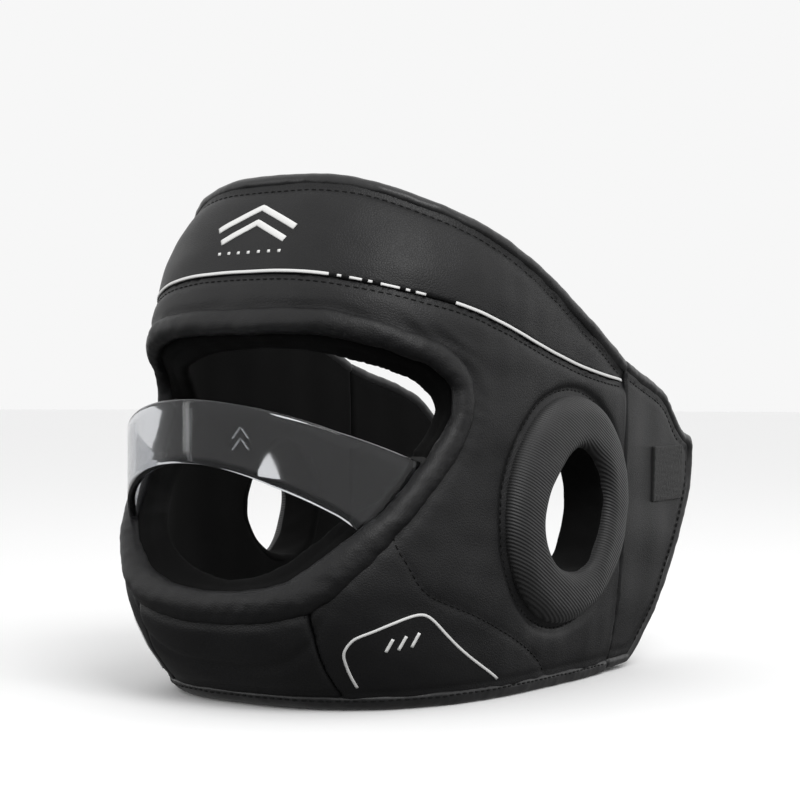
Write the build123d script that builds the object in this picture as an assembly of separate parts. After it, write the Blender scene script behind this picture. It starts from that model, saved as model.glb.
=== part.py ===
from build123d import *
import math
import os

os.makedirs("parts", exist_ok=True)

# Frame while drawing: X to the wearer's left, face toward -Y, Z up, the hem on Z = 0.

# ---- driving dimensions, mm ----
# Outer skin, one row a level: height, half width, forward reach, squareness of the corner.
LEVELS = [
    (-10, 82, 108, 2.55), (0, 87, 120, 2.6), (22, 93, 139, 2.8), (52, 97, 152, 2.95),
    (100, 100, 147, 2.9), (145, 101, 132, 2.85), (193, 99, 127, 2.85), (225, 90, 114, 2.8),
    (251, 74, 99, 2.6), (264, 65, 91, 2.5),
]
REAR_REACH = 190          # the drawn walls run this far back before they are trimmed
TAPER_START = 30          # the side walls draw in behind this line ...
TAPER_LENGTH = 140
TAPER = 15                # ... by this much over that length

SKIN = 1.5                # leathercloth outside
FOAM = 16.5               # padding
LINER = 2.0               # suede-like lining
WALL = SKIN + FOAM + LINER
BIND = 1.2                # thickness of the folded edge binding
BIND_WIDTH = 6
RING_RISE = 9             # how far the ear ring stands off the side
ROLL_RISE = 3             # raised edge round the face opening
ROLL_WIDTH = 7
HEM = BIND                # the wall stops this far above the floor, on its binding
WING_HEM = 3.0            # the wings hang clear of the floor

# Side-view curves, (Y, Z).
RIM = [(-175, 252), (-130, 252), (-99, 250.5), (-81, 241), (-55, 228.5), (-14, 207.5), (30, 182.5),
       (74, 161), (112, 150), (130, 141.5), (140, 133), (149, 127), (176, 121)]
PIPING = [(-140, 207), (-127, 204.5), (-118, 200), (-75, 186.5), (-33, 173), (31, 157),
          (53, 154), (72, 152.5)]
PIPING_END = 66
PIPING_HALF = 1.2
REAR_EDGE = [(168, 122.5), (167, 98), (153, 70), (126, 32), (108, 13), (97, 3)]
BROW_SPLIT = 160          # brow padding above, cheek padding below

# Face opening, drawn square to the corner of the face: distance along the wall, height.
OPENING_TURN = 32         # degrees the cut is turned from sideways toward the front
OPENING = [(-190, 176), (-112, 176), (-80, 175), (-59.5, 170), (-39, 163), (-25.5, 156),
           (-19.5, 146), (-20.5, 136), (-29, 122), (-40, 110), (-58, 92), (-73, 80.5),
           (-86, 69), (-97, 60), (-110, 54.5), (-127, 52), (-190, 51.5)]
CHIN_HALF = 50            # the chin cup's side seams
CHIN_TOP = 80
CHIN_BACK = -60

EAR_Y, EAR_Z = 8, 89
EAR_RING = (57, 57)       # half width and half height of the ring at its foot
EAR_RING_DRAFT = 22       # degrees the ring's flank leans in, from its full size at ...
RING_START_X = 88         # ... this far out
EAR_HOLE = [(8, 119), (28, 110), (36, 94), (32, 74), (22, 61), (4, 59), (-14, 66),
            (-24, 82), (-20, 98), (-8, 111)]
EAR_LINING = 2.0

HINGE_Y = 80              # the wings fold on a line behind the ears
HINGE_FOOT_X = 78.8       # the fold line at Z = 0 ...
HINGE_LEAN = 0.068        # ... and how far it leans out for each mm of height
HINGE_ROLL = 8.8          # radius of the padded roll along the fold
ROLL_TOP = 156            # the roll stops under the rim
SHELL_END = HINGE_Y - 11.6

BAR_PLAN = [(0, -165), (26, -160), (50, -146), (66, -129), (76, -110), (82, -92), (85.5, -72)]
BAR_SIDE = [(-175, 148.5), (-153, 138), (-134, 129), (-92, 113), (-60, 103), (-60, 68),
            (-100, 73), (-126, 84), (-134, 91), (-153, 104.5), (-175, 123)]
BAR_THICK = 3.6
BAR_SLEEVE_GAP = 1.4      # sleeve wall each side of the bar
SLEEVE_EDGE = 2.0         # sleeve wall above and below the bar
SLEEVE_FRONT = -98        # sleeves and bar ends are buried in the cheeks
SLEEVE_REAR = -50
RIVETS = [(-84, 82), (-84, 97)]
RIVET_X = 84
RIVET_R, RIVET_HALF = 2.5, 4.5

STRAP_Z = (93, 119)       # closure strap, on the right wing's rear edge
STRAP_LENGTH, STRAP_THICK = 68, 2.0
STRAP_AXIS_Y = 174.5
STRAP_AXIS_X = -90.2
STRAP_LEAN = -7.5         # degrees, to lie along the drawn-in wing
STRAP_PIN_R = 1.2
STRAP_START = 1.8         # the strap begins this far from its fold line
HOOK_THICK = 1.2
HOOK_SPAN = (22, 64)      # hook patch, from the fold line
HOOK_INSET = 3
TAB_LENGTH = 24           # the tab runs this far forward, sewn to the wing
TAB_INSIDE = 1.6          # from the fold line in to the tab
TAB_DEEP = 8              # cut back to the wing's binding
TAB_WEB = (1.5, 0.6)
LOOP_PATCH = (106, 150, 88, 118)

CENTRE = Pos(0, -4, 0)    # brings the middle of the finished box onto the origin

# Reach of the trimming solids, comfortably past the head form on every side.
ACROSS = 160
AHEAD, BEHIND = -200, 200
UNDER, OVER = -60, 320
TRIM_FRONT, TRIM_REAR = -175, 176    # where the trimming outlines are closed


def taper(y):
    return TAPER * (max(y - TAPER_START, 0) / TAPER_LENGTH) ** 1.4


def section(level, inset, rear):
    """Closed face of the head form at one height, drawn in by `inset`."""
    z, a, f, n = level
    a, f = a - inset, f - inset
    half = []
    for i in range(10):
        t = math.radians(10 * i)
        half.append((a * math.sin(t) ** (2 / n), -f * max(math.cos(t), 0) ** (2 / n)))
    half += [(a - taper(y), y) for y in (35, 75, 115, 155, rear)]
    points = [(-x, y, z) for x, y in reversed(half[1:])] + [(x, y, z) for x, y in half]
    edge = Spline(*points, tangents=((0, -1, 0), (0, 1, 0)))
    return make_face(Wire([edge, Line(edge @ 1, edge @ 0)]))


def core(inset):
    """The solid head form; inner forms run past the outer ones at the open ends."""
    past = max(inset, 0) * 0.4
    rows = list(LEVELS)
    rows[0] = (rows[0][0] - past,) + rows[0][1:]
    rows[-1] = (rows[-1][0] + past,) + rows[-1][1:]
    return loft([section(r, inset, REAR_REACH + past) for r in rows])


def across_head(face):
    """Solid right across the head from a flat (Y, Z) face."""
    return extrude(Plane.YZ * face, ACROSS, both=True)


def side_prism(curve_points, closing):
    """Solid across the head from a smooth (Y, Z) curve and the corners that close it."""
    curve = Spline(*curve_points)
    loop = Wire([curve, *Polyline(curve @ 1, *closing, curve @ 0).edges()])
    return across_head(make_face(loop))


def band(curve, below, above):
    """Strip across the head that follows a (Y, Z) curve."""
    top = [(y, z + above) for y, z in curve]
    low = [(y, z - below) for y, z in curve]
    edges = [Spline(*top), Spline(*low)]
    ends = [Line(edges[0] @ 0, edges[1] @ 0), Line(edges[0] @ 1, edges[1] @ 1)]
    return across_head(make_face(Wire(edges + ends)))


def block(x0, x1, y0, y1, z0, z1):
    return Pos((x0 + x1) / 2, (y0 + y1) / 2, (z0 + z1) / 2) * Box(x1 - x0, y1 - y0, z1 - z0)


def parallel(curve, distance, count, closed=False):
    """Spline that runs beside a flat curve, to its right when the distance is positive."""
    points = []
    for i in range(count):
        t = i / (count if closed else count - 1)
        here, heading = curve @ t, curve % t
        points.append((here.X + heading.Y * distance, here.Y - heading.X * distance))
    return Spline(*points, periodic=True) if closed else Spline(*points)


LEFT = block(0, ACROSS, AHEAD, BEHIND, UNDER, OVER)


def both_sides(shape):
    return shape + mirror(shape, Plane.YZ)


def opening_cut(grow):
    """Everything taken out of the wall for the face, `grow` mm larger all round."""
    turn = math.radians(OPENING_TURN)
    across = (math.cos(turn), -math.sin(turn), 0)
    along = (math.sin(turn), math.cos(turn), 0)
    curve = Spline(*OPENING)
    if grow:
        curve = parallel(curve, -grow, 40)
    loop = make_face(Wire([curve, Line(curve @ 1, curve @ 0)]))
    plane = Plane(origin=(0, 0, 0), x_dir=along, z_dir=across)
    return both_sides(extrude(plane * loop, BEHIND, both=True) & LEFT)


def ear_hole(grow):
    curve = Spline(*EAR_HOLE, periodic=True)
    if grow:
        curve = parallel(curve, -grow, 24, closed=True)
    return across_head(make_face(Wire([curve])))


def save(shape, node):
    export_step(CENTRE * shape, "parts/" + node + ".step")


def save_pair(left, node):
    save(left, node + "_left")
    save(mirror(left, Plane.YZ), node + "_right")


# ---- head forms, one for each surface the layers meet on ----
form = {d: core(d) for d in
        (-RING_RISE, -ROLL_RISE, -BIND, 0, SKIN, SKIN + FOAM, WALL, WALL + BIND)}
skin_layer = form[0] - form[SKIN]
foam_layer = form[SKIN] - form[SKIN + FOAM]
liner_layer = form[SKIN + FOAM] - form[WALL]
bind_outer = form[-BIND] - form[0]
bind_layer = form[-BIND] - form[WALL + BIND]

# ---- trimming solids ----
below_rim = side_prism(RIM, [(TRIM_REAR, UNDER), (TRIM_FRONT, UNDER)])
above_piping = side_prism(PIPING, [(PIPING[-1][0], OVER), (PIPING[0][0], OVER)])
shell_zone = below_rim & block(-ACROSS, ACROSS, AHEAD, SHELL_END, HEM, OVER)


def wing_prism(grow):
    """Side view of a wing from the fold line back, with its free edges moved out by `grow`."""
    rear = Spline(*[(y + grow, z - grow * 0.3) for y, z in REAR_EDGE])
    foot, top = WING_HEM - grow, REAR_EDGE[0][1] + 80
    loop = Wire([rear, *Polyline(rear @ 1, (HINGE_Y, foot), (HINGE_Y, top),
                                 (REAR_EDGE[0][0] + grow, top), rear @ 0).edges()])
    raised = [(y, z + grow) for y, z in RIM]
    return (across_head(make_face(loop))
            & side_prism(raised, [(TRIM_REAR, UNDER), (TRIM_FRONT, UNDER)]))


wing_zone = wing_prism(0)
opening = opening_cut(0)
hole = ear_hole(EAR_LINING)

# ---- nose bar, its sleeves and rivets ----
plan = [(-x, y) for x, y in reversed(BAR_PLAN[1:])] + BAR_PLAN


def bar_strip(half_thick):
    path = Spline(*plan)
    inner, outer = parallel(path, half_thick, 31), parallel(path, -half_thick, 31)
    ends = [Line(inner @ 0, outer @ 0), Line(inner @ 1, outer @ 1)]
    return extrude(make_face(Wire([inner, outer] + ends)), OVER, dir=(0, 0, 1))


bar_outline = Polyline(*BAR_SIDE, close=True)
nose_bar = bar_strip(BAR_THICK / 2) & across_head(make_face(bar_outline))
sleeve_side = across_head(make_face(offset(bar_outline, SLEEVE_EDGE, kind=Kind.INTERSECTION)))
sleeve_zone = bar_strip(BAR_THICK / 2 + BAR_SLEEVE_GAP) & sleeve_side
sleeve_solid = sleeve_zone & block(0, ACROSS, SLEEVE_FRONT, SLEEVE_REAR, 0, OVER)
rivets = [Pos(RIVET_X, y, z) * Rot(0, 90, 0) * Cylinder(RIVET_R, 2 * RIVET_HALF)
          for y, z in RIVETS]
rivets_left = rivets[0] + rivets[1]
buried = both_sides(sleeve_solid + rivets_left) + nose_bar

# ---- shell: covers, padding and lining ----
def shell_part(layer):
    return (layer & shell_zone) - opening - hole


shell_skin = shell_part(skin_layer)
shell_foam = shell_part(foam_layer) - buried
shell_liner = shell_part(liner_layer)

chin_zone = block(-CHIN_HALF, CHIN_HALF, AHEAD, CHIN_BACK, UNDER, CHIN_TOP)
brow_zone = block(-ACROSS, ACROSS, AHEAD, BEHIND, BROW_SPLIT, OVER)

save(shell_skin & above_piping, "forehead_cover")
save_pair((shell_skin - above_piping - chin_zone) & LEFT, "face_cover")
save(shell_skin & chin_zone, "chin_cover")

save(shell_foam & above_piping, "forehead_foam")
save((shell_foam & brow_zone) - above_piping, "brow_foam")
save(shell_foam & chin_zone, "chin_foam")
save_pair((shell_foam - brow_zone - above_piping - chin_zone) & LEFT, "cheek_foam")

save(shell_liner & brow_zone, "forehead_liner")
save(shell_liner & chin_zone, "chin_liner")
save_pair((shell_liner - brow_zone - chin_zone) & LEFT, "cheek_liner")

# ---- raised edge, piping and bindings ----
roll_layer = form[-ROLL_RISE] - form[0]
save((roll_layer & opening_cut(ROLL_WIDTH) & shell_zone) - opening, "opening_roll")
piping_span = block(-ACROSS, ACROSS, AHEAD, PIPING_END, 0, OVER)
save(bind_outer & band(PIPING, PIPING_HALF, PIPING_HALF) & piping_span, "piping")
wall_zone = form[0] - form[WALL]
rim_strip = band(RIM, BIND_WIDTH, BIND) & block(-ACROSS, ACROSS, AHEAD, SHELL_END, 0, OVER)
save((bind_layer & rim_strip) - (wall_zone & shell_zone), "rim_binding")
hem_strip = block(-ACROSS, ACROSS, AHEAD, SHELL_END, 0, HEM + BIND_WIDTH)
save((bind_layer & hem_strip) - (wall_zone & shell_zone), "hem_binding")

# ---- ear rings and the linings of their holes ----
ring_foot = Pos(0, EAR_Y, EAR_Z) * (Plane.YZ * Ellipse(*EAR_RING))
ring_body = extrude(Pos(RING_START_X, 0, 0) * ring_foot, 30, taper=EAR_RING_DRAFT)
ring_layer = form[-RING_RISE] - form[0]
save_pair((ring_layer & ring_body) - hole, "ear_ring")
lining_tube = (hole - ear_hole(0)) & LEFT
save_pair((form[-RING_RISE] - form[WALL]) & lining_tube & shell_zone, "ear_lining")

save(nose_bar - both_sides(rivets_left), "nose_bar")
save_pair(sleeve_solid - nose_bar - rivets_left, "bar_sleeve")
save(both_sides(rivets_left), "bar_rivets")

# ---- rear wings ----
hinge_dir = Vector(HINGE_LEAN, 0, 1)
hinge_plane = Plane(origin=(HINGE_FOOT_X, HINGE_Y, 0), z_dir=hinge_dir)
fold_roll = extrude(hinge_plane * Circle(HINGE_ROLL), BEHIND)
fold_roll = fold_roll & below_rim & block(0, ACROSS, 0, HINGE_Y, WING_HEM, ROLL_TOP)
wing_left = wing_zone & LEFT
wing_wall = wall_zone & wing_left
wing_foam = (foam_layer & wing_left) + fold_roll
save_pair(skin_layer & wing_left, "wing_cover")
save_pair(wing_foam, "wing_foam")
save_pair(liner_layer & wing_left, "wing_liner")

behind_fold = block(0, ACROSS, HINGE_Y + BIND_WIDTH + 1, BEHIND, UNDER, OVER)
wing_edge = (bind_layer & wing_prism(BIND) & behind_fold) - wing_prism(-BIND_WIDTH) - wing_wall
save_pair(wing_edge, "wing_binding")

# ---- closure: loop patch on the left wing, strap on the right ----
y0, y1, z0, z1 = LOOP_PATCH
save(bind_outer & block(0, ACROSS, y0, y1, z0, z1), "loop_patch")


# The strap is drawn lying forward along the right wing, its fold line at the rear edge.
strap_low, strap_high = STRAP_Z
strap_plane = Pos(STRAP_AXIS_X, STRAP_AXIS_Y, 0) * Rot(0, 0, STRAP_LEAN)


def strap_piece(x0, x1, front, rear, inset=0):
    """Upright plate beside the wing, measured forward from the fold line."""
    return strap_plane * block(x0, x1, -front, -rear, strap_low + inset, strap_high - inset)


half_strap = STRAP_THICK / 2
save(strap_piece(-half_strap, half_strap, STRAP_LENGTH, STRAP_START), "closure_strap")
save(strap_piece(-half_strap - HOOK_THICK, -half_strap, HOOK_SPAN[1], HOOK_SPAN[0], HOOK_INSET),
     "hook_patch")
tab_pin = strap_plane * Pos(0, 0, (strap_low + strap_high) / 2) * Cylinder(
    STRAP_PIN_R, strap_high - strap_low)
tab_plate = strap_piece(TAB_INSIDE, TAB_DEEP, TAB_LENGTH, TAB_WEB[1]) - form[-BIND]
tab_web = strap_piece(0, TAB_INSIDE, *TAB_WEB)
save(tab_plate + tab_web + tab_pin, "strap_tab")
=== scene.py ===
import math

import bpy
import numpy as np
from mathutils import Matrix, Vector


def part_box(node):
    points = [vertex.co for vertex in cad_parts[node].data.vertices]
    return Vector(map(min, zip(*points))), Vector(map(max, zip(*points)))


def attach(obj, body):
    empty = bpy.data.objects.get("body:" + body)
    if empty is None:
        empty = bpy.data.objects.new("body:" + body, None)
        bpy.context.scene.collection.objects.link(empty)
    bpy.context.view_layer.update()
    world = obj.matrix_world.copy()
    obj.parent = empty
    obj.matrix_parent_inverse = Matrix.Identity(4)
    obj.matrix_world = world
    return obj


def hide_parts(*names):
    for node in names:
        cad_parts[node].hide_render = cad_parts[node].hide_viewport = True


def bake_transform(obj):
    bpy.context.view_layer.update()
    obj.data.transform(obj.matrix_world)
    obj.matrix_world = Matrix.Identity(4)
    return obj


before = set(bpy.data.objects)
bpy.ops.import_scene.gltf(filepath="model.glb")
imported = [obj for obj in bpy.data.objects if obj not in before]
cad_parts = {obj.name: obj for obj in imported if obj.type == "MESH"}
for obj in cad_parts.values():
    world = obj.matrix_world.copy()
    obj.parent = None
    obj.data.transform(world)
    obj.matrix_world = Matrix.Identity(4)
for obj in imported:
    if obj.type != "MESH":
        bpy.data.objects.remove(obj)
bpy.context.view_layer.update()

# ------------------------------------------------------------------ the head form, in mm
# Drawn as the CAD is: x to the wearer's left, face to -y, hem on z = 0. DY takes the drawing
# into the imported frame.
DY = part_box("piping")[1].y * 1000 - 66.0
WALL = 20.0
PAD_DEPTH = 14.0
MIRROR = (-1, 1, 1)
# Behind TAPER_FROM the sides draw in by TAPER over TAPER_LENGTH, as y to the power TAPER_POWER.
TAPER, TAPER_FROM, TAPER_LENGTH, TAPER_POWER = 15, 30, 140, 1.4
RING_Y, RING_Z, RING_RADIUS = 8, 89, 57
# z, half width, depth to the front, and the power that squares the section off
LEVELS = np.array([
    (-10, 82, 108, 2.55), (0, 87, 120, 2.6), (22, 93, 139, 2.8), (52, 97, 152, 2.95),
    (100, 100, 147, 2.9), (145, 101, 132, 2.85), (193, 99, 127, 2.85), (225, 90, 114, 2.8),
    (251, 74, 99, 2.6), (264, 65, 91, 2.5)], float)
RIM = [(-175, 252), (-130, 252), (-99, 250.5), (-81, 241), (-55, 228.5), (-14, 207.5),
       (30, 182.5), (74, 161), (112, 150), (130, 141.5), (140, 133), (149, 127), (176, 121)]
PIPING = [(-140, 207), (-127, 204.5), (-118, 200), (-75, 186.5), (-33, 173), (31, 157),
          (53, 154), (72, 152.5)]
REAR = [(168, 122.5), (167, 98), (153, 70), (126, 32), (108, 13), (97, 3)]
OPENING = [(-190, 176), (-112, 176), (-80, 175), (-59.5, 170), (-39, 163), (-25.5, 156),
           (-19.5, 146), (-20.5, 136), (-29, 122), (-40, 110), (-58, 92), (-73, 80.5),
           (-86, 69), (-97, 60), (-110, 54.5), (-127, 52), (-190, 51.5)]
HOLE = [(8, 119), (28, 110), (36, 94), (32, 74), (22, 61), (4, 59), (-14, 66),
        (-24, 82), (-20, 98), (-8, 111)]
SHELL_END = 68.4
# the face opening is cut through both cheeks at this angle to the side view
COS, SIN = math.cos(math.radians(32)), math.sin(math.radians(32))


def cubic(t, v, at):
    """Natural cubic spline through (t, v)."""
    n, h = len(t), np.diff(t)
    m, r = np.eye(n), np.zeros(n)
    for i in range(1, n - 1):
        m[i, i - 1:i + 2] = h[i - 1], 2 * (h[i - 1] + h[i]), h[i]
        r[i] = 6 * ((v[i + 1] - v[i]) / h[i] - (v[i] - v[i - 1]) / h[i - 1])
    c = np.linalg.solve(m, r)
    i = np.clip(np.searchsorted(t, at) - 1, 0, n - 2)
    x, hh = at - t[i], h[i]
    slope = (v[i + 1] - v[i]) / hh - hh * (2 * c[i] + c[i + 1]) / 6
    return v[i] + x * slope + x ** 2 * c[i] / 2 + x ** 3 * (c[i + 1] - c[i]) / (6 * hh)


def curve(points, count=160, closed=False):
    p = np.array(points, float)
    if closed:
        p = np.vstack([p[-3:], p, p[:4]])
    t = np.concatenate([[0], np.cumsum(np.hypot(*np.diff(p, axis=0).T))])
    lo, hi = (t[3], t[-4]) if closed else (t[0], t[-1])
    at = np.linspace(lo, hi, count)
    return np.stack([cubic(t, p[:, k], at) for k in range(p.shape[1])], -1)


ZT = np.linspace(-14, 268, 565)
AT, FT, NT = (cubic(LEVELS[:, 0], LEVELS[:, k], ZT) for k in (1, 2, 3))
DAT, DFT = np.gradient(AT, ZT), np.gradient(FT, ZT)


def depth(x, y, z):
    """How far a point lies inside the outer skin, near enough, and less than 0 outside."""
    zc = np.clip(z, -14, 268)
    a, f, n, da, df = (np.interp(zc, ZT, v) for v in (AT, FT, NT, DAT, DFT))
    ax = np.maximum(np.abs(x), 1e-6)
    u, w = ax / a, np.maximum(-y, 0) / f
    un, wn = u ** n, w ** n
    g = np.maximum(un + wn, 1e-12) ** (1 / n)
    k = g ** (1 - n)
    gx, gy = un / ax * k, wn / np.maximum(-y, 1e-6) * k
    gz = -k * (un * da / a + wn * df / f)
    front = (1 - g) / np.sqrt(gx ** 2 + gy ** 2 + gz ** 2 + 1e-12)
    back = np.maximum(y - TAPER_FROM, 0) / TAPER_LENGTH
    b = a - TAPER * back ** TAPER_POWER
    slope = TAPER * TAPER_POWER * back ** (TAPER_POWER - 1) / TAPER_LENGTH
    rear = (b - ax) / np.sqrt(1 + slope ** 2 + da ** 2)
    return np.where(y < 0, front, rear)


class Field:
    """Signed distance to a closed outline on a flat raster, less than 0 inside it."""

    def __init__(self, outline, lo, hi, step=1.0):
        p = np.asarray(outline, float)
        q = np.roll(p, -1, 0)
        self.lo, self.step = np.array(lo, float), step
        nx, ny = (int((hi[k] - lo[k]) / step) + 2 for k in (0, 1))
        gx, gy = np.meshgrid(lo[0] + step * np.arange(nx), lo[1] + step * np.arange(ny),
                             indexing="ij")
        best = np.full(gx.shape, 1e9)
        inside = np.zeros(gx.shape, bool)
        for (ax, ay), (bx, by) in zip(p, q):
            dx, dy = bx - ax, by - ay
            if dx * dx + dy * dy < 1e-12:
                continue
            t = np.clip(((gx - ax) * dx + (gy - ay) * dy) / (dx * dx + dy * dy), 0, 1)
            best = np.minimum(best, (gx - ax - t * dx) ** 2 + (gy - ay - t * dy) ** 2)
            if abs(dy) > 1e-12:
                cross = ((ay > gy) != (by > gy)) & (gx < dx * (gy - ay) / dy + ax)
                inside ^= cross
        self.v = np.sqrt(best) * np.where(inside, -1, 1)

    def __call__(self, a, b):
        i = np.clip((a - self.lo[0]) / self.step, 0, self.v.shape[0] - 1.001)
        j = np.clip((b - self.lo[1]) / self.step, 0, self.v.shape[1] - 1.001)
        i0, j0 = i.astype(int), j.astype(int)
        s, t, v = i - i0, j - j0, self.v
        return ((v[i0, j0] * (1 - s) + v[i0 + 1, j0] * s) * (1 - t)
                + (v[i0, j0 + 1] * (1 - s) + v[i0 + 1, j0 + 1] * s) * t)


SIDE = ((-180, -30), (195, 275))
rim_line, piping_line = curve(RIM), curve(PIPING)
f_rim = Field(np.vstack([rim_line, [(176, -60), (-175, -60)]]), *SIDE)
f_piping = Field(np.vstack([piping_line, [(90, 152), (90, -60), (-140, -60)]]), *SIDE)
f_opening = Field(curve(OPENING, 240), (-190, 20), (60, 210))
hole_line = curve(HOLE, 120, True)
f_hole = Field(hole_line, (-70, 10), (90, 170))
rear_line = curve(REAR)
f_wing = Field(np.vstack([rear_line, [(40, 3), (40, 260), (168, 260)]]), *SIDE)
turn = np.linspace(0, 2 * np.pi, 120, endpoint=False)


def ring_circle(radius):
    return np.stack([RING_Y + radius * np.cos(turn), RING_Z + radius * np.sin(turn)], -1)


f_ring = Field(ring_circle(RING_RADIUS), *SIDE)


def face_edge(x, y, z):
    """Signed distance to the face opening along the wall, less than 0 in the opening."""
    return f_opening(np.abs(x) * SIN + y * COS, z)


def smax(a, b, k):
    h = np.maximum(k - np.abs(a - b), 0) / k
    return np.maximum(a, b) + h * h * k / 4


def smin(a, b, k):
    return -smax(-a, -b, k)


rng = np.random.default_rng(7)
WAVES = [(rng.normal(size=3), rng.uniform(0, 6.28)) for _ in range(10)]


def unevenness(x, y, z, length):
    """Smooth random swell, about -1 to 1, with features about `length` mm across."""
    total = 0
    for direction, phase in WAVES:
        d = direction / np.linalg.norm(direction) * (0.7 + 0.6 * (phase / 6.28)) * 6.28 / length
        total = total + np.sin(d[0] * x + d[1] * y + d[2] * z + phase)
    return total / 4.5


def groove(distance, width, sink):
    return sink * np.exp(-(distance / width) ** 2)


# ------------------------------------------------------------------ meshing
def mesh_field(field, lo, hi, step):
    """Quads on field = 0 by surface nets, drawn onto the surface afterwards."""
    n = [int(math.ceil((hi[k] - lo[k]) / step)) + 1 for k in range(3)]
    axes = [lo[k] + step * np.arange(n[k]) for k in range(3)]
    v = np.empty(n, np.float32)
    for k in range(0, n[2], 16):
        gx, gy, gz = np.meshgrid(axes[0], axes[1], axes[2][k:k + 16], indexing="ij")
        v[:, :, k:k + 16] = field(gx, gy, gz)
    s = v < 0
    cell = s[:-1, :-1, :-1]
    anyc, allc = cell.copy(), cell.copy()
    for i in (0, 1):
        for j in (0, 1):
            for k in (0, 1):
                c = s[i:n[0] - 1 + i, j:n[1] - 1 + j, k:n[2] - 1 + k]
                anyc |= c
                allc &= c
    active = anyc & ~allc
    index = np.full(active.shape, -1, np.int64)
    cells = np.argwhere(active)
    index[active] = np.arange(len(cells))
    points = np.zeros((len(cells), 3))
    weight = np.zeros(len(cells))
    corner = [(i, j, k) for i in (0, 1) for j in (0, 1) for k in (0, 1)]
    for a in corner:
        for axis in range(3):
            if a[axis]:
                continue
            b = list(a)
            b[axis] = 1
            va = v[tuple((cells + a).T)].astype(float)
            vb = v[tuple((cells + b).T)].astype(float)
            hit = (va < 0) != (vb < 0)
            t = np.where(hit, va / np.where(hit, va - vb, 1), 0)
            p = np.array(a, float) + t[:, None] * (np.array(b) - np.array(a))
            points += np.where(hit[:, None], p, 0)
            weight += hit
    points = (cells + points / weight[:, None]) * step + np.array(lo, float)
    quads = []
    for axis in range(3):
        o = [k for k in range(3) if k != axis]
        sl_a, sl_b = [slice(None)] * 3, [slice(None)] * 3
        sl_a[axis], sl_b[axis] = slice(0, -1), slice(1, None)
        sl_a[o[0]] = sl_b[o[0]] = slice(1, -1)
        sl_a[o[1]] = sl_b[o[1]] = slice(1, -1)
        ea, eb = s[tuple(sl_a)], s[tuple(sl_b)]
        at = np.argwhere(ea != eb)
        flip = ea[tuple(at.T)]
        at[:, o[0]] += 1
        at[:, o[1]] += 1
        ring = []
        for da, db in ((-1, -1), (0, -1), (0, 0), (-1, 0)):
            q = at.copy()
            q[:, o[0]] += da
            q[:, o[1]] += db
            ring.append(index[tuple(q.T)])
        ring = np.stack(ring, 1)
        if axis == 1:
            flip = ~flip
        ring[~flip] = ring[~flip][:, ::-1]
        quads.append(ring)
    quads = np.concatenate(quads)
    for _ in range(4):
        value, grad = field_gradient(field, points, 0.25)
        move = -value[:, None] * grad / np.maximum((grad ** 2).sum(1), 0.05)[:, None]
        size = np.linalg.norm(move, axis=1)[:, None]
        points += move * np.minimum(1, 0.6 * step / np.maximum(size, 1e-9))
    return points, quads


def field_gradient(field, p, e):
    value = field(*p.T)
    grad = np.stack([
        (field(*(p + np.eye(3)[k] * e).T) - field(*(p - np.eye(3)[k] * e).T)) / (2 * e)
        for k in range(3)], 1)
    return value, grad


def make_object(name, points, faces, mat):
    """A smooth-shaded object from points in drawing millimetres."""
    mesh = bpy.data.meshes.new(name)
    pts = (np.asarray(points, float) + (0, DY, 0)) * 0.001
    mesh.from_pydata(pts.tolist(), [], [tuple(f) for f in np.asarray(faces).tolist()]
                     if isinstance(faces, np.ndarray) else faces)
    mesh.validate()
    mesh.polygons.foreach_set("use_smooth", [True] * len(mesh.polygons))
    mesh.materials.append(mat)
    obj = bpy.data.objects.new(name, mesh)
    bpy.context.scene.collection.objects.link(obj)
    return obj


def settle(points, field):
    """Points drawn onto a field's surface, and the normals there."""
    p = np.array(points, float)
    for _ in range(14):
        value, grad = field_gradient(field, p, 0.3)
        move = (-value / np.maximum((grad ** 2).sum(1), 0.05))[:, None] * grad
        p += move * np.minimum(1, 2.5 / np.maximum(np.linalg.norm(move, axis=1), 1e-9))[:, None]
    return p, grad / np.linalg.norm(grad, axis=1)[:, None]


def even(points, spacing):
    """The same path with points `spacing` mm apart."""
    p = np.asarray(points, float)
    s = np.concatenate([[0], np.cumsum(np.linalg.norm(np.diff(p, axis=0), axis=1))])
    at = np.linspace(0, s[-1], max(int(s[-1] / spacing), 1) + 1)
    return np.stack([np.interp(at, s, p[:, k]) for k in range(p.shape[1])], -1)


def beside(line, distance):
    """A side-view line moved below itself by `distance`."""
    t = np.gradient(line, axis=0)
    t /= np.linalg.norm(t, axis=1)[:, None]
    return line + distance * np.stack([t[:, 1], -t[:, 0]], -1)


def side_x(y, z):
    """Half width of the outer skin behind the face."""
    back = np.maximum(y - TAPER_FROM, 0) / TAPER_LENGTH
    return np.interp(z, ZT, AT) - TAPER * back ** TAPER_POWER


def around(line, y_end):
    """Path on the left half of the head form along a side-view line, from the middle back."""
    out = []
    for t in np.linspace(0, math.pi / 2, 120)[:-1]:
        y = -110.0
        for _ in range(40):
            z = np.interp(y, line[:, 0], line[:, 1])
            a, f, n = (np.interp(z, ZT, v) for v in (AT, FT, NT))
            y = 0.5 * y - 0.5 * f * math.cos(t) ** (2 / n)
        out.append((a * math.sin(t) ** (2 / n), y, z))
    y = np.arange(0.0, y_end, 1.5)
    z = np.interp(y, line[:, 0], line[:, 1])
    return np.vstack([out, np.stack([side_x(y, z), y, z], -1)])


def both_ways(path):
    """A path from the middle back on one side, carried round to the other."""
    return np.vstack([path[::-1] * MIRROR, path[1:]])


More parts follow.
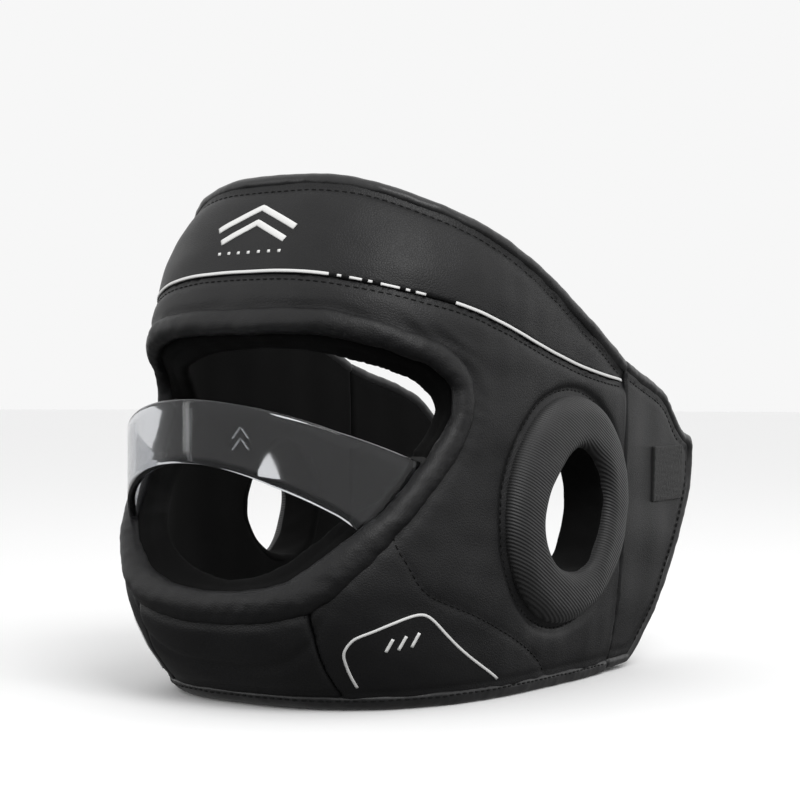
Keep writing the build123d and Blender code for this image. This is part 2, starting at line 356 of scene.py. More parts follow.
def frames(path, field):
    """A path settled on a surface, with the normal, heading and sideways direction there."""
    p, n = settle(path, field)
    t = np.gradient(p, axis=0)
    t /= np.maximum(np.linalg.norm(t, axis=1), 1e-9)[:, None]
    side = np.cross(n, t)
    side /= np.linalg.norm(side, axis=1)[:, None]
    return p, n, t, side


def ribbons(name, paths, field, width, mat, high=0.4, bury=0.6):
    """Thin raised strips laid along paths on a surface."""
    w = width / 2
    profile = [(-w, -bury), (-w, high * 0.5), (-w * 0.7, high), (w * 0.7, high),
               (w, high * 0.5), (w, -bury)]
    points, faces, m = [], [], len(profile)
    for path in paths:
        p, n, _, side = frames(even(path, 1.2), field)
        first = len(points)
        for k in range(len(p)):
            points += [p[k] + side[k] * a + n[k] * b for a, b in profile]
        for i in range(len(p) - 1):
            for j in range(m):
                a, b = first + i * m + j, first + i * m + (j + 1) % m
                faces.append((a, a + m, b + m, b))
        faces.append(tuple(range(first, first + m)))
        last = first + (len(p) - 1) * m
        faces.append(tuple(range(last + m - 1, last - 1, -1)))
    return make_object(name, points, faces, mat)


# one stitch: three rings of six points between two end points
CAPSULE = np.array(
    [(-1, 0, 0)]
    + [(along, radius * math.cos(math.pi * k / 3), radius * math.sin(math.pi * k / 3))
       for along, radius in ((-0.8, 0.75), (0.0, 1.0), (0.8, 0.75)) for k in range(6)]
    + [(1, 0, 0)])
CAP_FACES = [(0, 1 + (k + 1) % 6, 1 + k) for k in range(6)]
CAP_FACES += [(row + k, row + (k + 1) % 6, row + 6 + (k + 1) % 6, row + 6 + k)
              for row in (1, 7) for k in range(6)]
CAP_FACES += [(13 + k, 13 + (k + 1) % 6, 19) for k in range(6)]


def stitches(name, rows, mat, pitch=4.0, length=2.7, thick=0.42):
    """Rows of sewn thread: each row is (path, field)."""
    points, faces = [], []
    for path, field in rows:
        p, n, t, side = frames(even(path, pitch), field)
        for k in range(1, len(p) - 1):
            c = CAPSULE * (length / 2, thick, thick)
            first = len(points)
            points += list(p[k] + n[k] * 0.12 + c[:, :1] * t[k] + c[:, 1:2] * side[k]
                           + c[:, 2:] * n[k])
            faces += [tuple(first + v for v in f) for f in CAP_FACES]
    return make_object(name, points, faces, mat)


def surface(field, lo, hi, step):
    """A field's mesh, without the points that no quad uses."""
    points, quads = mesh_field(field, lo, hi, step)
    used, back = np.unique(quads, return_inverse=True)
    return points[used], back.reshape(quads.shape)


SURFACES = {}


def solid(name, field, lo, hi, step, mat):
    SURFACES[name] = surface(field, lo, hi, step)
    return make_object(name, *SURFACES[name], mat)


def mirrored(name, source, mat):
    points, quads = SURFACES[source]
    return make_object(name, points * MIRROR, quads[:, ::-1], mat)


# ------------------------------------------------------------------ materials
def material(name, color, rough, **extra):
    m = bpy.data.materials.new(name)
    m.use_nodes = True
    b = m.node_tree.nodes["Principled BSDF"]
    b.inputs["Base Color"].default_value = (*color, 1)
    b.inputs["Roughness"].default_value = rough
    for key, value in extra.items():
        b.inputs[key.replace("_", " ")].default_value = value
    return m, m.node_tree.nodes, m.node_tree.links, b


def grain(m, nodes, links, bsdf, color, vary, scale, strength, rough, rough_vary, fine=3.0):
    """Pebbled grain: cells over fine noise, uneven colour and uneven polish."""
    at = nodes.new("ShaderNodeTexCoord").outputs["Object"]
    cells = nodes.new("ShaderNodeTexVoronoi")
    cells.feature = "DISTANCE_TO_EDGE"
    cells.inputs["Scale"].default_value = scale
    noise = nodes.new("ShaderNodeTexNoise")
    noise.inputs["Scale"].default_value = scale * fine
    noise.inputs["Detail"].default_value = 3
    broad = nodes.new("ShaderNodeTexNoise")
    broad.inputs["Scale"].default_value = 38
    broad.inputs["Detail"].default_value = 4
    for n in (cells, noise, broad):
        links.new(at, n.inputs["Vector"])
    limit = nodes.new("ShaderNodeMath")
    limit.operation = "MINIMUM"
    limit.inputs[1].default_value = 0.22
    links.new(cells.outputs["Distance"], limit.inputs[0])
    both = nodes.new("ShaderNodeMath")
    both.operation = "MULTIPLY_ADD"
    both.inputs[1].default_value = 0.35
    links.new(noise.outputs["Fac"], both.inputs[0])
    links.new(limit.outputs[0], both.inputs[2])
    bump = nodes.new("ShaderNodeBump")
    bump.inputs["Strength"].default_value = strength
    bump.inputs["Distance"].default_value = 0.0006
    links.new(both.outputs[0], bump.inputs["Height"])
    links.new(bump.outputs["Normal"], bsdf.inputs["Normal"])
    ramp = nodes.new("ShaderNodeMapRange")
    ramp.inputs["To Min"].default_value = rough - rough_vary
    ramp.inputs["To Max"].default_value = rough + rough_vary
    links.new(broad.outputs["Fac"], ramp.inputs["Value"])
    links.new(ramp.outputs[0], bsdf.inputs["Roughness"])
    mix = nodes.new("ShaderNodeMix")
    mix.data_type = "RGBA"
    mix.inputs["A"].default_value = (*[c * (1 - vary) for c in color], 1)
    mix.inputs["B"].default_value = (*[c * (1 + vary) for c in color], 1)
    links.new(broad.outputs["Fac"], mix.inputs["Factor"])
    links.new(mix.outputs["Result"], bsdf.inputs["Base Color"])
    return m


def ribs(m, nodes, links, bsdf, color, rough, across, spacing, strength, warp=0.3,
         painted_rib_shade=0.5):
    """Fine ribs square to the direction `across`, spacing in metres, with painted shade in the
    rib valleys and a painted highlight on the crests.
    """
    at = nodes.new("ShaderNodeTexCoord").outputs["Object"]
    dot = nodes.new("ShaderNodeVectorMath")
    dot.operation = "DOT_PRODUCT"
    length = math.sqrt(sum(c * c for c in across))
    dot.inputs[1].default_value = [c / length * 2 * math.pi / spacing for c in across]
    noise = nodes.new("ShaderNodeTexNoise")
    noise.inputs["Scale"].default_value = 400
    links.new(at, dot.inputs[0])
    links.new(at, noise.inputs["Vector"])
    add = nodes.new("ShaderNodeMath")
    add.operation = "MULTIPLY_ADD"
    add.inputs[1].default_value = warp * 2
    links.new(noise.outputs["Fac"], add.inputs[0])
    links.new(dot.outputs["Value"], add.inputs[2])
    sine = nodes.new("ShaderNodeMath")
    sine.operation = "SINE"
    links.new(add.outputs[0], sine.inputs[0])
    bump = nodes.new("ShaderNodeBump")
    bump.inputs["Strength"].default_value = strength
    bump.inputs["Distance"].default_value = 0.0005
    links.new(sine.outputs[0], bump.inputs["Height"])
    links.new(bump.outputs["Normal"], bsdf.inputs["Normal"])
    # the colour follows the bump's wave: painted shade in the rib valleys and a painted highlight
    # on the rib crests
    ramp = nodes.new("ShaderNodeMapRange")
    ramp.inputs["From Min"].default_value = -1
    links.new(sine.outputs[0], ramp.inputs["Value"])
    mix = nodes.new("ShaderNodeMix")
    mix.data_type = "RGBA"
    mix.inputs["A"].default_value = (*[c * (1 - painted_rib_shade) for c in color], 1)
    mix.inputs["B"].default_value = (*[c * (1 + painted_rib_shade / 2) for c in color], 1)
    links.new(ramp.outputs[0], mix.inputs["Factor"])
    links.new(mix.outputs["Result"], bsdf.inputs["Base Color"])
    bsdf.inputs["Roughness"].default_value = rough
    return m


def clear(m, nodes, links, bsdf, tint, density):
    """Clear plastic with a faint uneven haze, tinted through its depth."""
    haze = nodes.new("ShaderNodeTexNoise")
    haze.inputs["Scale"].default_value = 60
    haze.inputs["Detail"].default_value = 6
    links.new(nodes.new("ShaderNodeTexCoord").outputs["Object"], haze.inputs["Vector"])
    polish = nodes.new("ShaderNodeMapRange")
    polish.inputs["From Min"].default_value = 0.35
    polish.inputs["From Max"].default_value = 0.75
    polish.inputs["To Min"].default_value = 0.02
    polish.inputs["To Max"].default_value = 0.09
    links.new(haze.outputs["Fac"], polish.inputs["Value"])
    links.new(polish.outputs[0], bsdf.inputs["Roughness"])
    absorb = nodes.new("ShaderNodeVolumeAbsorption")
    absorb.inputs["Color"].default_value = (*tint, 1)
    absorb.inputs["Density"].default_value = density
    links.new(absorb.outputs[0], nodes["Material Output"].inputs["Volume"])
    return m


LEATHER = grain(*material("leathercloth", (0.01,) * 3, 0.5, Specular_IOR_Level=0.3),
                (0.0095, 0.0095, 0.0100), 0.22, 780, 0.5, 0.44, 0.07)
LINING = grain(*material("lining", (0.003,) * 3, 0.9, Specular_IOR_Level=0.08,
                         Sheen_Weight=0.015, Sheen_Roughness=0.5),
               (0.003, 0.003, 0.003), 0.25, 1600, 0.5, 0.85, 0.05)
SATIN = grain(*material("satin_binding", (0.017,) * 3, 0.4, Specular_IOR_Level=0.4,
                        Sheen_Weight=0.06),
              (0.017, 0.017, 0.0175), 0.15, 420, 0.18, 0.38, 0.06)
MESH = ribs(*material("ribbed_mesh", (0.02,) * 3, 0.5, Specular_IOR_Level=0.35,
                      Sheen_Weight=0.05),
            (0.026, 0.026, 0.0265), 0.5, (0, 0.5, 0.87), 0.0014, 0.4, 0.1, painted_rib_shade=0.3)
THREAD = grain(*material("thread", (0.004,) * 3, 0.7, Specular_IOR_Level=0.2),
               (0.004, 0.004, 0.004), 0.2, 4000, 0.3, 0.7, 0.05)
WHITE = grain(*material("white_print", (0.8,) * 3, 0.5), (0.78, 0.78, 0.77), 0.04, 1500, 0.15,
              0.5, 0.06)
HOOK = grain(*material("hook_tape", (0.02,) * 3, 0.8), (0.012, 0.012, 0.012), 0.3, 1300, 0.9,
             0.75, 0.05)
LOOP = grain(*material("loop_pile", (0.02,) * 3, 0.95, Sheen_Weight=0.12),
             (0.010, 0.010, 0.010), 0.3, 2600, 0.8, 0.92, 0.04)
WEB = ribs(*material("strap_web", (0.02,) * 3, 0.6, Sheen_Weight=0.08),
           (0.012, 0.012, 0.0125), 0.6, (0, 0, 1), 0.0016, 0.7)
SLEEVE = grain(*material("sleeve_plastic", (0.02,) * 3, 0.5), (0.015, 0.015, 0.015), 0.15, 2200,
               0.2, 0.5, 0.06)
STEEL = grain(*material("rivet_steel", (0.5,) * 3, 0.3, Metallic=1.0), (0.5, 0.5, 0.5), 0.08,
              3000, 0.1, 0.32, 0.08)
CLEAR = clear(*material("clear_bar", (0.80, 0.81, 0.83), 0.03, IOR=1.4,
                        Transmission_Weight=1.0), (0.50, 0.51, 0.53), 90)

# ------------------------------------------------------------------ padded wall
CHIN_HALF = 50
CHEEK_SEAM = [(79, -117, 89), (80, -116, 82), (82, -112, 72), (85, -104, 60), (88, -93, 52),
              (92, -74, 45), (93, -46, 34), (93, -24, 24), (91, -6, 13), (89, 0, 8)]
cheek_line = curve(CHEEK_SEAM)
f_cheek = Field(np.vstack([cheek_line[:, 1:], cheek_line[::-1, 1:]]), *SIDE)


def skin_depth(x, y, z):
    """Depth under the leather, with the soft give of the padding and the sunk seams."""
    d = depth(x, y, z) - 0.45 * unevenness(x, y, z, 46) - 0.2 * unevenness(x, y, z, 17)
    lip = face_edge(x, y, z)
    corner = np.exp(-((y + 88) / 30) ** 2 - ((z - 165) / 22) ** 2) + 0.25
    pucker = np.sin(0.5 * (y + 1.3 * z) + 2.5 * unevenness(x, y, z, 30))
    d = d - 0.3 * corner * np.exp(-((lip - 11) / 7) ** 2) * pucker
    sink = groove(f_piping(y, z) + 2.6, 1.8, 0.9) + groove(f_piping(y, z), 7, 0.9)
    sink = sink + groove(f_rim(y, z) + 8.2, 1.5, 1.0) + groove(f_rim(y, z) + 7, 6, 0.8)
    ring = f_ring(y, z)
    sink = sink + groove(ring - 2.2, 2.4, 2.0) + groove(ring, 10, 1.0)
    sink = sink + groove(lip - 9.5, 3.5, 0.9)
    cheek = f_cheek(y, z)
    sink = sink + (groove(cheek, 1.3, 0.5) + groove(cheek, 6, 0.25)) * (z < 92)
    sink = sink + groove(np.abs(x) - CHIN_HALF, 1.6, 0.4) * (z < 58) * (y < -60)
    sink = sink + groove(z - 9.4, 1.5, 0.6)
    return d - sink


def wall_limits(x, y, z, k=5.0, rim=-1.0, lip=1.2, hem=2.0):
    """Inside the rim, the hem and the lip of the opening, rounded by k where they meet."""
    f = smax(f_rim(y, z) - rim, hem - z, k)
    return smax(f, lip - face_edge(x, y, z), k)


def chin_seam(x, y, z):
    return np.maximum(np.maximum(np.abs(x) - CHIN_HALF, z - 80), y + 60)


def panel(x, y, z):
    d = skin_depth(x, y, z)
    return smax(smax(-d, d - PAD_DEPTH, 4.0), wall_limits(x, y, z), 5.0)


def forehead(x, y, z):
    return smax(smax(panel(x, y, z), -f_piping(y, z) + 0.1, 1.4), y - SHELL_END, 0.6)


def face_panel(x, y, z):
    f = smax(panel(x, y, z), f_piping(y, z) + 0.1, 1.4)
    f = smax(f, 0.2 - chin_seam(x, y, z), 1.2)
    f = smax(f, -(f_hole(y, z) - 3.0), 2.0)
    return smax(f, y - SHELL_END, 0.6)


def chin_cup(x, y, z):
    lip = face_edge(x, y, z)
    d = skin_depth(x, y, z) + groove(lip - 24, 14, 1.6) - groove(lip - 12.5, 2.0, 0.5)
    f = smax(smax(-d, d - PAD_DEPTH, 4.0), wall_limits(x, y, z, 9.0), 9.0)
    return smax(f, chin_seam(x, y, z) + 0.2, 1.2)


def lining(x, y, z):
    d = depth(x, y, z) + 0.5 * unevenness(x, y, z, 34)
    lip = face_edge(x, y, z) + 0.3 * unevenness(x, y, z, 12)
    bulge = np.where(z > 118, 10.0, 7.0) * np.clip((z - 118) ** 2 / 900, 0.45, 1)
    lip = lip + bulge * np.clip((d - 5) / 15, 0, 1) ** 0.8
    f = smax(4.2 - d, d - 20.4, 5.0)
    f = smax(f, smax(f_rim(y, z) + 2, 3 - z, 3.0), 3.0)
    f = smax(f, -lip - 0.2 + groove(d - 12, 1.0, 0.5), 5.0)
    f = smax(f, -(f_hole(y, z) - 2.2), 2.0)
    return smax(f, y - SHELL_END, 3.0)


def ride(obj, body, slot, *nodes, pad=None):
    """Ride on a body and stand for CAD nodes. `slot` is not used. `pad` is not used."""
    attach(obj, body)
    if nodes:
        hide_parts(*nodes)
    return obj


STEP = 1.8
forehead_obj = solid("forehead_panel", forehead, (-104, -132, 140), (104, 72, 256), STEP, LEATHER)
ride(forehead_obj, "shell", "leathercloth", "forehead_cover", "forehead_foam", pad=0.8)
face = solid("face_panel", face_panel, (-106, -158, -1), (106, 72, 212), STEP, LEATHER)
ride(face, "shell", "leathercloth", "face_cover_left", "face_cover_right", "cheek_foam_left",
     "cheek_foam_right", "brow_foam", pad=0.8)
chin = solid("chin_cup", chin_cup, (-54, -160, -1), (54, -70, 90), STEP * 0.8, LEATHER)
ride(chin, "shell", "leathercloth", "chin_cover", "chin_foam", pad=0.85)
inner = solid("lining", lining, (-100, -152, 0), (100, 72, 256), STEP, LINING)
ride(inner, "shell", "lining", "forehead_liner", "cheek_liner_left", "cheek_liner_right",
     "chin_liner", pad=0.5)


# ------------------------------------------------------------------ rolled edges and bindings
def opening_roll(x, y, z):
    d = depth(x, y, z)
    lip = face_edge(x, y, z)
    swell = 0.3 * unevenness(x, y, z, 14) + 0.12 * unevenness(x, y, z, 5)
    chin = np.clip((84 - z) / 16, 0, 1)
    return (np.sqrt((d - 2.9 - 2.6 * chin) ** 2 + ((lip - 4.0 - 1.6 * chin) * 0.8) ** 2)
            - 5.0 - 2.0 * chin - swell)


roll = solid("opening_roll_pad", opening_roll, (-104, -162, 40), (104, -60, 190), STEP * 0.7,
             LEATHER)
ride(roll, "shell", "leathercloth", "opening_roll", pad=0.9)


def binding_field(edge, low, high, round_=3.4):
    """Folded tape over the wall's edge: `edge` is the distance inside the outline."""
    def field(x, y, z):
        d = depth(x, y, z) + 0.25 * unevenness(x, y, z, 16) + 0.12 * unevenness(x, y, z, 6)
        e = edge(x, y, z) + 0.3 * unevenness(x, y, z, 22) + 0.12 * unevenness(x, y, z, 7)
        qd = np.abs(d - WALL / 2) - (WALL / 2 + 1.0 - round_)
        qe = np.abs(e - (low + high) / 2) - ((high - low) / 2 - round_)
        return (np.sqrt(np.maximum(qd, 0) ** 2 + np.maximum(qe, 0) ** 2)
                + np.minimum(np.maximum(qd, qe), 0) - round_)
    return field


rim_bind = binding_field(lambda x, y, z: -f_rim(y, z), -1.4, 5.6)
rim = solid("rim_tape", lambda x, y, z: smax(rim_bind(x, y, z), y - SHELL_END, 2.0),
            (-106, -134, 150), (106, 72, 256), STEP * 0.8, SATIN)
ride(rim, "shell", "satin_binding", "rim_binding")
hem_bind = binding_field(lambda x, y, z: z, 0.0, 7.4, 3.0)
hem = solid("hem_tape", lambda x, y, z: smax(hem_bind(x, y, z), y - SHELL_END, 2.0),
            (-98, -136, -2), (98, 72, 10), STEP * 0.7, SATIN)
ride(hem, "shell", "satin_binding", "hem_binding")


# ------------------------------------------------------------------ ear rings and hole linings
def ear_ring(x, y, z):
    d = depth(x, y, z)
    ring, hole = f_ring(y, z), f_hole(y, z)
    crown = 8.7 - 3.4 * np.clip((ring + 22) / 22, 0, 1.2) ** 2 + 0.2 * unevenness(x, y, z, 19)
    f = smax(-d - crown, d - 4, 3.0)
    f = smax(f, ring * 0.94 + (-d) * 0.28, 7.0)
    return smax(f, -hole + 0.2, 8.0)


def ear_lining(x, y, z):
    d = depth(x, y, z)
    hole = f_hole(y, z) + 0.35 * unevenness(x, y, z, 13)
    f = smax(hole - 5.0, -hole, 2.5)
    return smax(f, smax(-d - 3.5, d - WALL - 0.8, 3.0), 3.0)


ring = solid("ear_pad_left", ear_ring, (84, -56, 24), (114, 72, 154), STEP * 0.6, MESH)
ride(ring, "shell", "ribbed_mesh", "ear_ring_left", pad=0.9)
ride(mirrored("ear_pad_right", "ear_pad_left", MESH), "shell", "ribbed_mesh",
     "ear_ring_right", pad=0.9)
tube = solid("ear_tube_left", ear_lining, (68, -34, 48), (110, 48, 130), STEP * 0.6, LINING)
ride(tube, "shell", "lining", "ear_lining_left")
ride(mirrored("ear_tube_right", "ear_tube_left", LINING), "shell", "lining",
     "ear_lining_right")


# ------------------------------------------------------------------ rear wings
def wing_out(y, z):
    return smax(f_rim(y, z), f_wing(y, z), 5.0)


def wing_cover(x, y, z):
    d = depth(x, y, z) - 0.5 * unevenness(x, y, z, 40)
    d = d - groove(wing_out(y, z) + 8, 1.2, 0.6)
    f = smax(smax(-d, d - PAD_DEPTH, 5.0), wing_out(y, z) + 1.5, 5.0)
    return smax(f, SHELL_END + 0.1 - y, 0.6)


def wing_lining(x, y, z):
    d = depth(x, y, z) + 0.4 * unevenness(x, y, z, 30)
    f = smax(smax(6 - d, d - 20.2, 4.0), wing_out(y, z) + 2.5, 4.0)
    return smax(f, SHELL_END + 0.4 - y, 2.0)


wing_bind = binding_field(lambda x, y, z: -wing_out(y, z), -1.2, 5.2, 3.2)
WING_LO, WING_HI = (56, 64, 0), (106, 174, 168)


def across_fold(obj, side):
    """Bake a wing's piece's transform into its mesh; it is not blended across the fold behind the
    ear.
    """
    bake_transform(obj)


def wing_piece(name, field, step, mat, nodes):
    for side in ("left", "right"):
        if side == "left":
            obj = solid(name + "_left", field, WING_LO, WING_HI, step, mat)
        else:
            obj = mirrored(name + "_right", name + "_left", mat)
        across_fold(obj, side)
        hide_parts(*[n + "_" + side for n in nodes])


wing_piece("wing_panel", wing_cover, STEP, LEATHER,
           ["wing_cover", "wing_foam"])
wing_piece("wing_lining", wing_lining, STEP, LINING, ["wing_liner"])
wing_piece("wing_tape", lambda x, y, z: smax(wing_bind(x, y, z), SHELL_END + 0.1 - y, 2.0),
           STEP * 0.8, SATIN, ["wing_binding"])

# ------------------------------------------------------------------ nose bar
BAR = [(0, -165), (26, -160), (50, -146), (66, -129), (76, -110), (82, -92), (85.5, -72)]
bar_line = curve([(-x, y) for x, y in reversed(BAR[1:])] + BAR, 181)
# height of the bar's edges along y
BAR_TOP = np.array([(-175, 148.5), (-153, 138), (-134, 129), (-92, 113), (-60, 103)], float)
BAR_LOW = np.array([(-175, 123), (-153, 104.5), (-134, 91), (-126, 84), (-100, 73),
                    (-60, 68)], float)
BAR_HALF_THICK = 1.8


def nose_bar():
    """The bar's rounded section, swept along its middle line."""
    heading = np.gradient(bar_line, axis=0)
    heading /= np.linalg.norm(heading, axis=1)[:, None]
    out = np.stack([heading[:, 1], -heading[:, 0]], 1)
    section = []
    t, r = BAR_HALF_THICK, 1.5
    for cx, cy, a0 in ((t - r, 1, 0), (-(t - r), 1, 90), (-(t - r), -1, 180), (t - r, -1, 270)):
        for k in range(5):
            a = math.radians(a0 + 22.5 * k)
            section.append((cx + r * math.cos(a), cy, r * math.sin(a)))
    rows = 9
    loop = section[:10]
    loop += [(-t, 1 - 2 * (k + 1) / rows, 0) for k in range(rows - 1)]
    loop += section[10:]
    loop += [(t, -1 + 2 * (k + 1) / rows, 0) for k in range(rows - 1)]
    points, faces, m = [], [], len(loop)
    for (x, y), (ox, oy) in zip(bar_line, out):
        top, low = np.interp(y, *BAR_TOP.T), np.interp(y, *BAR_LOW.T)
        mid, tall = (top + low) / 2, (top - low) / 2 - r
        for o, s, dz in loop:
            points.append((x + ox * o, y + oy * o, mid + s * tall + dz))
    for i in range(len(bar_line) - 1):
        for j in range(m):
            a, b = i * m + j, i * m + (j + 1) % m
            faces.append((a, a + m, b + m, b))
    faces.append(tuple(range(m)))
    faces.append(tuple(range(len(bar_line) * m - 1, (len(bar_line) - 1) * m - 1, -1)))
    return make_object("nose_bar_clear", points, faces, CLEAR)


bar = nose_bar()
ride(bar, "shell", "clear_bar", "nose_bar")


FACE_X, FACE_Y = bar_line[bar_line[:, 0] >= 0].T


def bar_skin(x, y, z):
    """Distance outside the bar's outer face, near its front."""
    edge = np.interp(np.abs(x), FACE_X, FACE_Y)
    slope = np.interp(np.abs(x) + 1, FACE_X, FACE_Y) - edge
    return (edge - BAR_HALF_THICK - y) / np.sqrt(1 + slope ** 2)


emboss = [[(x - 4, -158, z - 3), (x, -158, z + 2.5), (x + 4, -158, z - 3)]
          for x, z in ((27, 124), (27, 129))]
embossed = ribbons("bar_chevrons", emboss, bar_skin, 0.9, CLEAR, high=0.35, bury=0.05)
ride(embossed, "shell", "clear_bar")

# ------------------------------------------------------------------ printed lines and thread
def printed(name, paths, field, width, *nodes):
    ride(ribbons(name, paths, field, width, WHITE), "shell", "white_piping", *nodes)


def skin(x, y, z):
    return -skin_depth(x, y, z)


pipe = around(beside(piping_line, -0.6), 66)
gap_front = int(np.argmin(np.abs(pipe[:, 1] + 119) + 200 * (pipe[:, 0] < 40)))
gap_rear = int(np.argmin(np.abs(pipe[:, 1] + 79)))
white = [np.vstack([pipe[::-1] * MIRROR, pipe[1:gap_front]]), pipe[gap_rear:]]
printed("piping_line", white, skin, 1.5, "piping")
gap = even(pipe[gap_front:gap_rear], 1.0)
marks = [(3, 5), (9, 15), (18, 20), (24, 33), (36, 38), (41, 46)]
pieces = [gap[a:b + 1] for a, b in marks if b < len(gap) - 2]
printed("piping_marks", pieces, skin, 1.2)


def flat_path(corners, y):
    return [(x, y, z) for x, z in corners]


emblem = [flat_path([(-24, 224), (-1, 237), (22, 224)], -113),
          flat_path([(-20, 217), (-1, 228), (18, 217)], -114)]
printed("emblem_chevrons", emblem, forehead, 3.2)
printed("emblem_dots", [flat_path([(x - 0.7, 211), (x + 0.7, 211)], -115)
                        for x in (-19, -13, -7, -1, 5, 11, 17)], forehead, 1.5)
JAW = [(59, -115, 12), (60, -126, 25), (61, -128, 29), (63, -127.5, 33), (67, -126, 36.3),
       (72, -121, 39), (76, -117, 41), (80, -111, 43.5), (83, -104, 45.4), (85, -99, 45.4),
       (86, -95, 43.5), (87, -88, 38), (89, -75, 28), (89, -57, 18), (88, -43, 11)]
jaw = curve(JAW, 90)
printed("jaw_outline", [jaw, jaw * MIRROR], face_panel, 1.3)
bars = [[(76 + 2 * k, -115 + 6.5 * k, 28 + 1.4 * k), (77 + 2 * k, -112 + 6.5 * k, 35 + 1.4 * k)]
        for k in range(3)]
printed("jaw_bars", bars + [np.array(q, float) * MIRROR for q in bars], face_panel, 1.6)

rows = [(both_ways(around(beside(rim_line, 8.2), 66)), forehead),
        (both_ways(around(beside(piping_line, 2.9), 66)), face_panel),
        (cheek_line, face_panel), (cheek_line * MIRROR, face_panel)]
ring_path = ring_circle(RING_RADIUS + 2.2)
ring_path = np.vstack([ring_path, ring_path[:1]])
ring_path = ring_path[ring_path[:, 0] < 66]
start = int(np.argmax(np.linalg.norm(np.diff(ring_path, axis=0), axis=1))) + 1
ring_path = np.vstack([ring_path[start:], ring_path[:start]])
ring_path = np.column_stack([side_x(*ring_path.T), ring_path])
rows += [(ring_path, skin), (ring_path * MIRROR, skin)]
hem_path = around(np.array([(-180, 5.4), (180, 5.4)]), 66)
rows.append((both_ways(hem_path), hem_bind))
for side in (1, -1):
    seam = [(CHIN_HALF * side, -144, z) for z in np.arange(12, 56, 2.0)]
    rows.append((seam, skin))
chin_row = [(50, -133, 60), (35, -137, 57), (18, -139, 55), (0, -140, 54.5), (-18, -139, 55),
            (-35, -137, 57), (-50, -133, 60)]
rows.append((curve(chin_row, 80), opening_roll))
ride(stitches("shell_stitching", rows, THREAD), "shell", "leathercloth")


# ------------------------------------------------------------------ closure
STRAP_FOLD, STRAP_LEAN = (-90.2, 174.5), math.radians(-7.5)


def closure(name, field, lo, hi, step, mat, slot, body, node):
    """A piece drawn about the strap's fold, then turned and moved to it."""
    points, quads = surface(field, lo, hi, step)
    x, y = points[:, 0].copy(), points[:, 1].copy()
    points[:, 0] = STRAP_FOLD[0] + x * math.cos(STRAP_LEAN) - y * math.sin(STRAP_LEAN)
    points[:, 1] = STRAP_FOLD[1] + x * math.sin(STRAP_LEAN) + y * math.cos(STRAP_LEAN)
    ride(make_object(name, points, quads, mat), body, slot, node)


def rounded(x, y, z, lo, hi, r):
    """A box with edges of radius r."""
    q = [np.abs(v - (a + b) / 2) - ((b - a) / 2 - r) for v, a, b in zip((x, y, z), lo, hi)]
    out = np.sqrt(sum(np.maximum(v, 0) ** 2 for v in q))
    return out + np.minimum(np.maximum(np.maximum(q[0], q[1]), q[2]), 0) - r


def strap(x, y, z):
    weave = 0.12 * np.cos(y * 2 * math.pi / 2.4) * np.cos(z * 2 * math.pi / 2.6)
    f = rounded(x, y, z, (-1.0, -68, 93), (1.0, -1.8, 119), 0.9)
    return f - weave * 0.6


def hook(x, y, z):
    nap = 0.16 * np.cos(y * 2 * math.pi / 1.6) * np.cos(z * 2 * math.pi / 1.6)
    return rounded(x, y, z, (-2.2, -64, 96), (-0.7, -22, 116), 0.5) - nap


closure("closure_strap_web", strap, (-2, -69, 92), (2, -1, 120), 0.6, WEB, "strap_web", "strap",
        "closure_strap")
closure("hook_tape", hook, (-3, -65, 95), (0, -21, 117), 0.45, HOOK, "hook_tape", "strap",
        "hook_patch")


def tab(x, y, z):
    """A pin along the fold, and the tab that wraps it and is sewn to the wing."""
    f = np.sqrt(x ** 2 + y ** 2) - 1.2
    f = smin(f, rounded(x, y, z, (0, -1.6, 93), (2.0, -0.4, 119), 0.4), 0.8)
    f = smin(f, rounded(x, y, z, (1.6, -24, 93), (3.4, -0.6, 119), 0.7), 0.8)
    return smax(f, smax(z - 119, 93 - z, 0.5), 0.6)


closure("strap_tab_web", tab, (-2, -25, 92), (5, 2, 120), 0.5, WEB, "strap_web", "wing_right",
        "strap_tab")


def loop(x, y, z):
    nap = 0.18 * unevenness(x, y, z, 3.0)
    edge = rounded(0 * x, y, z, (-1, 106, 88), (1, 150, 118), 0.9)
    return smax(smax(-depth(x, y, z) - 1.25 - nap, depth(x, y, z) - 1.5, 0.8), edge, 0.8)


pile = solid("loop_pile", loop, (78, 104, 86), (104, 152, 120), 0.8, LOOP)
ride(pile, "wing_left", "loop_pile", "loop_patch")

# wing stitching, along the top and rear edges of the wing it is sewn into
wing_top = beside(rim_line, 8.0)
wy = np.arange(70, 148, 1.5)
wz = np.interp(wy, wing_top[:, 0], wing_top[:, 1])
rear_row = rear_line - (8.0, 0)
rear_row = rear_row[(rear_row[:, 1] < 112) & (rear_row[:, 1] > 12)]
for side, sign in (("left", 1), ("right", -1)):
    sewn = stitches("wing_stitching_" + side, [
        (np.stack([sign * side_x(wy, wz), wy, wz], -1), wing_cover),
        (np.column_stack([sign * side_x(*rear_row.T), rear_row]), wing_cover)], THREAD)
    across_fold(sewn, side)

for node, mat in (("bar_sleeve_left", SLEEVE), ("bar_sleeve_right", SLEEVE),
                  ("bar_rivets", STEEL)):
    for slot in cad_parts[node].material_slots:
        slot.material = mat

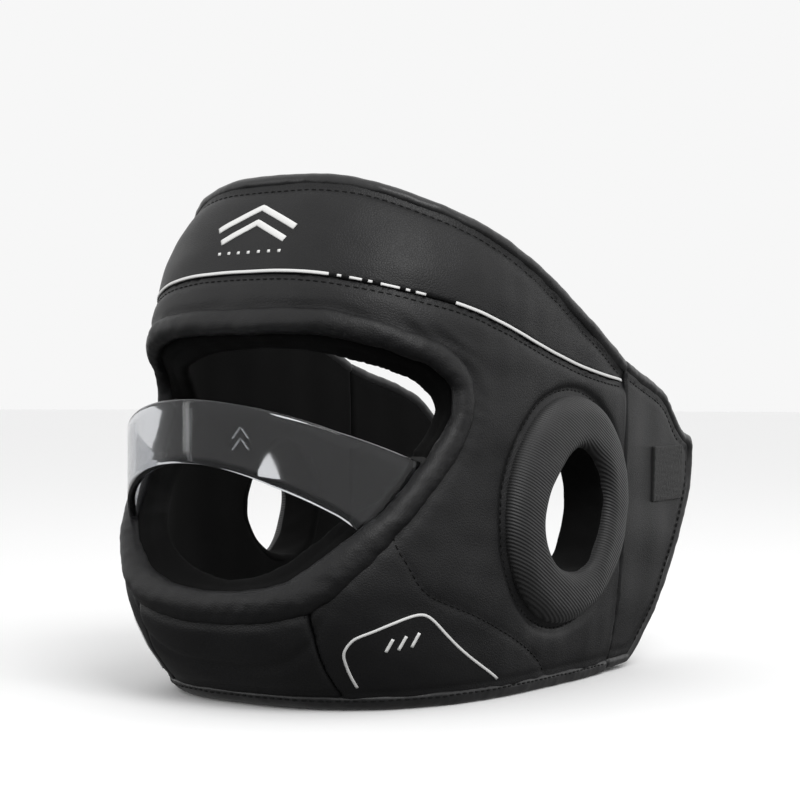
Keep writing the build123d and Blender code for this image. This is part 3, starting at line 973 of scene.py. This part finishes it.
# ------------------------------------------------------------------ camera, light, floor
DISTANCE, AZIMUTH, EYE = 1.040, math.radians(35), 0.1456
cam_data = bpy.data.cameras.new("camera")
cam_data.lens, cam_data.sensor_width = 90.0, 36.0
cam_data.shift_x, cam_data.shift_y = 0.005, -0.00625
cam_data.clip_end = 20
camera = bpy.data.objects.new("camera", cam_data)
camera.location = (DISTANCE * math.sin(AZIMUTH), DY * 0.001 - DISTANCE * math.cos(AZIMUTH), EYE)
camera.rotation_euler = (math.radians(90), 0, AZIMUTH)
bpy.context.scene.collection.objects.link(camera)
bpy.context.scene.camera = camera

floor_mat = material("floor", (0.93, 0.93, 0.93), 0.8, Specular_IOR_Level=0.1)[0]
bpy.ops.mesh.primitive_plane_add(size=30, location=(0, 0, 0))
floor = bpy.context.object
floor.name = "floor"
floor.data.materials.append(floor_mat)
floor.visible_diffuse = floor.visible_glossy = False

# white all round above the horizon, and darker below it
world = bpy.data.worlds.new("world")
bpy.context.scene.world = world
world.use_nodes = True
wn, wl = world.node_tree.nodes, world.node_tree.links
height = wn.new("ShaderNodeSeparateXYZ")
wl.new(wn.new("ShaderNodeTexCoord").outputs["Generated"], height.inputs[0])
below = wn.new("ShaderNodeMapRange")
below.inputs["From Min"].default_value = -0.16
below.inputs["From Max"].default_value = -0.04
below.inputs["To Min"].default_value = 0.12
below.inputs["To Max"].default_value = 0.93
wl.new(height.outputs["Z"], below.inputs["Value"])
wl.new(below.outputs[0], wn["Background"].inputs[0])


def area(name, place, look, size, power):
    light = bpy.data.lights.new(name, "AREA")
    light.shape = "RECTANGLE"
    light.size, light.size_y, light.energy = size[0], size[1], power
    obj = bpy.data.objects.new(name, light)
    obj.location = place
    obj.rotation_euler = (Vector(look) - Vector(place)).to_track_quat("-Z", "Y").to_euler()
    bpy.context.scene.collection.objects.link(obj)


area("key", (1.1, -0.6, 1.3), (0, 0, 0.12), (0.9, 0.9), 15)
area("fill", (-1.1, -1.5, 0.6), (0, 0, 0.12), (0.22, 1.1), 2.6)
bpy.context.scene.view_settings.view_transform = "Standard"
